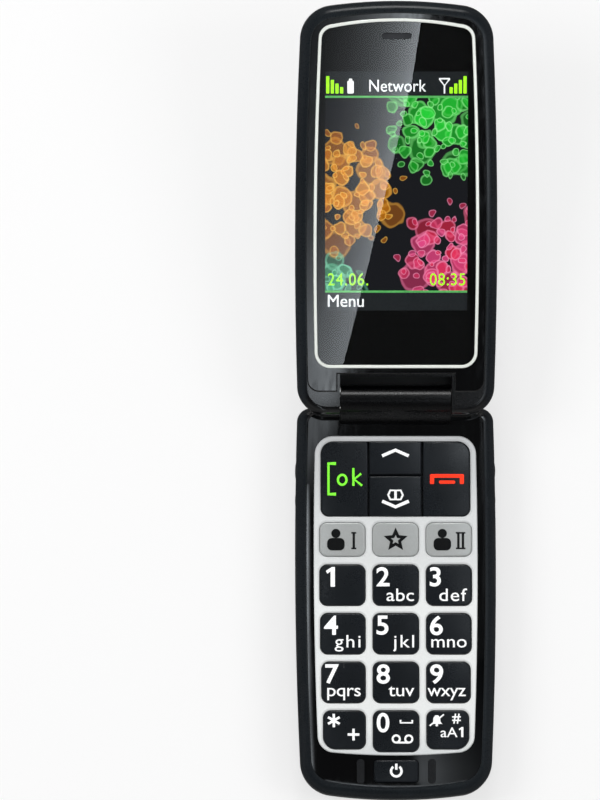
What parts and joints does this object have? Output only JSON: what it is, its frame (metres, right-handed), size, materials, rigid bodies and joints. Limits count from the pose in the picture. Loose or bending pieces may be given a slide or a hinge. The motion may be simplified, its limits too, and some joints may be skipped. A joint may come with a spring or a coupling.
{
  "type": "flip phone",
  "caption": "Clamshell phone, open: base with a raised keypad in a bright bezel, lid with an inner display, small outer display and metal side panels on a barrel hinge.",
  "frame": {"origin": "centre of the flat back of the base, on the surface it lies on", "axes": "+X across the phone to the right as its keypad is read, +Y from the keypad's lower end towards the hinge and the open lid, +Z out of the keypad"},
  "size_m": [0.0482, 0.1878, 0.0425],
  "materials": {
    "housing_plastic": "fine matte, blue-black",
    "shell_plastic": "matte black",
    "gloss_black": "high gloss black",
    "silver_plastic": "satin silver lacquer with bright edges",
    "black_keys": "semi-gloss black caps with printed legends",
    "side_key_plastic": "satin black",
    "clear_lens": "clear window over the display",
    "smoked_lens": "high gloss smoked black window",
    "bright_ring": "bright metal ring",
    "brushed_panel": "brushed lengthways, clear coated",
    "display_glass": "display module with lit graphics",
    "soft_rubber": "soft matte rubber",
    "dome_film": "polyester film with metal domes",
    "circuit_board": "green solder resist",
    "plated_steel": "tinned sheet steel",
    "battery_case": "wrapped pouch cell",
    "gold_contact": "gold plated springs",
    "component_plastic": "moulded black component bodies",
    "fine_mesh": "fine dark woven mesh",
    "magnet_metal": "plated magnet",
    "hinge_steel": "hardened steel",
    "flex_film": "polyimide flex"
  },
  "bodies": {
    "base": {"rear_housing": "housing_plastic", "front_frame": "housing_plastic", "face_plate": "gloss_black", "keypad_bezel": "silver_plastic", "keypad_mat": "soft_rubber", "dome_sheet": "dome_film", "main_board": "circuit_board", "shield_cans": "plated_steel", "battery": "battery_case", "battery_contacts": "gold_contact", "sim_holder": "plated_steel", "loudspeaker": "component_plastic", "vibration_motor": "plated_steel", "microphone": "component_plastic", "usb_socket": "plated_steel", "base_screws": "plated_steel", "bumper_pads": "soft_rubber", "side_switches": "component_plastic", "hinge_cartridge": "hinge_steel", "hinge_flex": "flex_film"},
    "lid": {"lid_frame": "housing_plastic", "lid_shell": "shell_plastic", "side_panel_left": "brushed_panel", "side_panel_right": "brushed_panel", "outer_window": "smoked_lens", "lid_fascia": "gloss_black", "window_ring": "bright_ring", "inner_window": "clear_lens", "earpiece_mesh": "fine_mesh", "inner_display": "display_glass", "outer_display": "display_glass", "lid_board": "circuit_board", "earpiece": "component_plastic", "lid_magnet": "magnet_metal", "lid_screws": "plated_steel", "hinge_cam": "hinge_steel", "hinge_pin": "hinge_steel"},
    "battery_cover": {"battery_cover": "housing_plastic"},
    "volume_rocker": {"volume_rocker": "side_key_plastic"},
    "right_rocker": {"right_rocker": "side_key_plastic"},
    "ok_key": {"ok_key": "black_keys"},
    "end_key": {"end_key": "black_keys"},
    "up_key": {"up_key": "black_keys"},
    "down_key": {"down_key": "black_keys"},
    "memory_key_left": {"memory_key_left": "silver_plastic"},
    "favourite_key": {"favourite_key": "silver_plastic"},
    "memory_key_right": {"memory_key_right": "silver_plastic"},
    "key_1": {"key_1": "black_keys"},
    "key_2": {"key_2": "black_keys"},
    "key_3": {"key_3": "black_keys"},
    "key_4": {"key_4": "black_keys"},
    "key_5": {"key_5": "black_keys"},
    "key_6": {"key_6": "black_keys"},
    "key_7": {"key_7": "black_keys"},
    "key_8": {"key_8": "black_keys"},
    "key_9": {"key_9": "black_keys"},
    "key_star": {"key_star": "black_keys"},
    "key_0": {"key_0": "black_keys"},
    "key_hash": {"key_hash": "black_keys"},
    "power_key": {"power_key": "black_keys"}
  },
  "joints": [
    {"name": "lid_hinge", "type": "hinge", "parent": "base", "child": "lid", "pos_m": [0, 0.0454, 0.0149], "axis": [1, 0, 0], "range_deg": [0, 165]},
    {"name": "ok_key_press", "type": "slide", "parent": "base", "child": "ok_key", "axis": [0, 0, -1], "range_m": [0, 0.0003], "stiffness_N_per_m": 300},
    {"name": "end_key_press", "type": "slide", "parent": "base", "child": "end_key", "axis": [0, 0, -1], "range_m": [0, 0.0003], "stiffness_N_per_m": 300},
    {"name": "up_key_press", "type": "slide", "parent": "base", "child": "up_key", "axis": [0, 0, -1], "range_m": [0, 0.0003], "stiffness_N_per_m": 300},
    {"name": "down_key_press", "type": "slide", "parent": "base", "child": "down_key", "axis": [0, 0, -1], "range_m": [0, 0.0003], "stiffness_N_per_m": 300},
    {"name": "memory_key_left_press", "type": "slide", "parent": "base", "child": "memory_key_left", "axis": [0, 0, -1], "range_m": [0, 0.0003], "stiffness_N_per_m": 300},
    {"name": "favourite_key_press", "type": "slide", "parent": "base", "child": "favourite_key", "axis": [0, 0, -1], "range_m": [0, 0.0003], "stiffness_N_per_m": 300},
    {"name": "memory_key_right_press", "type": "slide", "parent": "base", "child": "memory_key_right", "axis": [0, 0, -1], "range_m": [0, 0.0003], "stiffness_N_per_m": 300},
    {"name": "key_1_press", "type": "slide", "parent": "base", "child": "key_1", "axis": [0, 0, -1], "range_m": [0, 0.0003], "stiffness_N_per_m": 300},
    {"name": "key_2_press", "type": "slide", "parent": "base", "child": "key_2", "axis": [0, 0, -1], "range_m": [0, 0.0003], "stiffness_N_per_m": 300},
    {"name": "key_3_press", "type": "slide", "parent": "base", "child": "key_3", "axis": [0, 0, -1], "range_m": [0, 0.0003], "stiffness_N_per_m": 300},
    {"name": "key_4_press", "type": "slide", "parent": "base", "child": "key_4", "axis": [0, 0, -1], "range_m": [0, 0.0003], "stiffness_N_per_m": 300},
    {"name": "key_5_press", "type": "slide", "parent": "base", "child": "key_5", "axis": [0, 0, -1], "range_m": [0, 0.0003], "stiffness_N_per_m": 300},
    {"name": "key_6_press", "type": "slide", "parent": "base", "child": "key_6", "axis": [0, 0, -1], "range_m": [0, 0.0003], "stiffness_N_per_m": 300},
    {"name": "key_7_press", "type": "slide", "parent": "base", "child": "key_7", "axis": [0, 0, -1], "range_m": [0, 0.0003], "stiffness_N_per_m": 300},
    {"name": "key_8_press", "type": "slide", "parent": "base", "child": "key_8", "axis": [0, 0, -1], "range_m": [0, 0.0003], "stiffness_N_per_m": 300},
    {"name": "key_9_press", "type": "slide", "parent": "base", "child": "key_9", "axis": [0, 0, -1], "range_m": [0, 0.0003], "stiffness_N_per_m": 300},
    {"name": "key_star_press", "type": "slide", "parent": "base", "child": "key_star", "axis": [0, 0, -1], "range_m": [0, 0.0003], "stiffness_N_per_m": 300},
    {"name": "key_0_press", "type": "slide", "parent": "base", "child": "key_0", "axis": [0, 0, -1], "range_m": [0, 0.0003], "stiffness_N_per_m": 300},
    {"name": "key_hash_press", "type": "slide", "parent": "base", "child": "key_hash", "axis": [0, 0, -1], "range_m": [0, 0.0003], "stiffness_N_per_m": 300},
    {"name": "power_key_press", "type": "slide", "parent": "base", "child": "power_key", "axis": [0, 0, -1], "range_m": [0, 0.0003], "stiffness_N_per_m": 300},
    {"name": "volume_rocker_tilt", "type": "hinge", "parent": "base", "child": "volume_rocker", "pos_m": [-0.02228, 0.0254, 0.0063], "axis": [0, 0, 1], "range_deg": [-1.5, 1.5], "stiffness_Nm_per_rad": 0.02},
    {"name": "right_rocker_tilt", "type": "hinge", "parent": "base", "child": "right_rocker", "pos_m": [0.02228, 0.0254, 0.0063], "axis": [0, 0, 1], "range_deg": [-1.5, 1.5], "stiffness_Nm_per_rad": 0.02},
    {"name": "cover_slide", "type": "slide", "parent": "base", "child": "battery_cover", "axis": [0, -1, 0], "range_m": [0, 0.012]}
  ]
}
